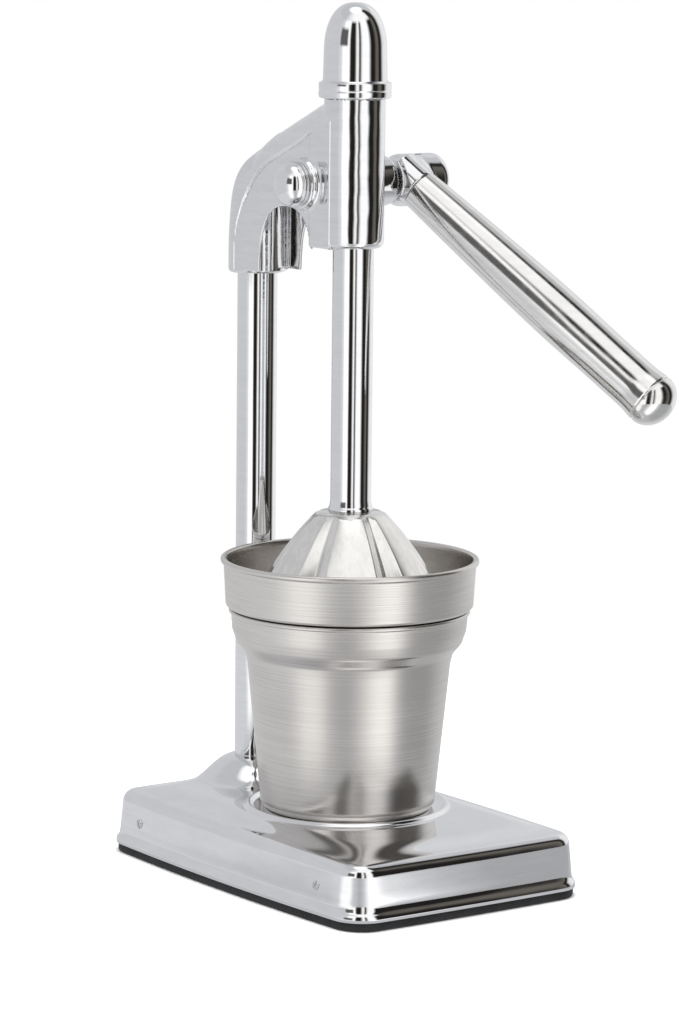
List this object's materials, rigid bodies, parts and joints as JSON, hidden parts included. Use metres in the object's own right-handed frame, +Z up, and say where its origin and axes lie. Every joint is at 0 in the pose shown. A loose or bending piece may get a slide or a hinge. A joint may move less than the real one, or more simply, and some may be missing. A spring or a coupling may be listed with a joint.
{
  "type": "citrus press juicer",
  "caption": "Hand-lever citrus press on a domed chrome base: a rack-driven plunger and fluted bell press fruit into a strainer on a steel cup.",
  "frame": {"origin": "centre of the base's footprint, on the surface that it stands on", "axes": "+Z up along the plunger and column, front towards -Y, the handle on the +X side"},
  "size_m": [0.1602, 0.1966, 0.365],
  "materials": {
    "chrome_shell": "mirror chrome plating on a pressed shell",
    "chrome_casting": "chrome plating on a polished casting, with a faint wave",
    "chrome_bar": "mirror chrome plating on turned steel",
    "polished_aluminium": "polished cast aluminium",
    "brushed_stainless": "brushed stainless, warm grey",
    "satin_handle": "satin nickel",
    "bright_steel": "bright turned steel",
    "zinc_steel": "zinc plated steel",
    "gear_steel": "machined steel, lightly oiled",
    "dark_steel": "black oxide steel",
    "black_rubber": "matt black rubber"
  },
  "bodies": {
    "frame": {"base_shell": "chrome_shell", "bottom_plate": "zinc_steel", "base_pad": "black_rubber", "side_screws": "bright_steel", "column": "chrome_bar", "column_washer": "zinc_steel", "column_nut": "zinc_steel", "head_casting": "chrome_casting", "head_set_screw": "dark_steel", "top_cap": "chrome_bar"},
    "lever": {"drive_shaft": "bright_steel", "pinion_gear": "gear_steel", "pinion_pin": "dark_steel", "shaft_washer": "bright_steel", "cap_nut": "chrome_bar", "thrust_washer": "bright_steel", "handle_hub": "chrome_casting", "hub_set_screw": "dark_steel", "handle_spigot": "bright_steel", "handle_tube": "satin_handle", "handle_end_cap": "satin_handle"},
    "plunger": {"plunger_rod": "chrome_bar", "rod_stop_washer": "zinc_steel", "rod_stop_screw": "dark_steel", "press_bell": "polished_aluminium", "bell_washer": "zinc_steel", "bell_screw": "dark_steel"},
    "cup": {"juice_cup": "brushed_stainless"},
    "strainer": {"strainer_bowl": "brushed_stainless", "reamer_cone": "brushed_stainless"}
  },
  "joints": [
    {"name": "lever_turn", "type": "hinge", "parent": "frame", "child": "lever", "pos_m": [0, 0.0135, 0.29], "axis": [-1, 0, 0], "range_deg": [0, 224]},
    {"name": "plunger_slide", "type": "slide", "parent": "frame", "child": "plunger", "axis": [0, 0, 1], "range_m": [0, 0.044]},
    {"name": "cup_turn", "type": "hinge", "parent": "frame", "child": "cup", "pos_m": [0, -0.004, 0.0295], "axis": [0, 0, 1], "continuous": true},
    {"name": "strainer_turn", "type": "hinge", "parent": "cup", "child": "strainer", "pos_m": [0, -0.004, 0.114], "axis": [0, 0, 1], "continuous": true}
  ],
  "couplings": [
    {"joint": "plunger_slide", "follows": "lever_turn", "m_per_rad": 0.01125}
  ]
}
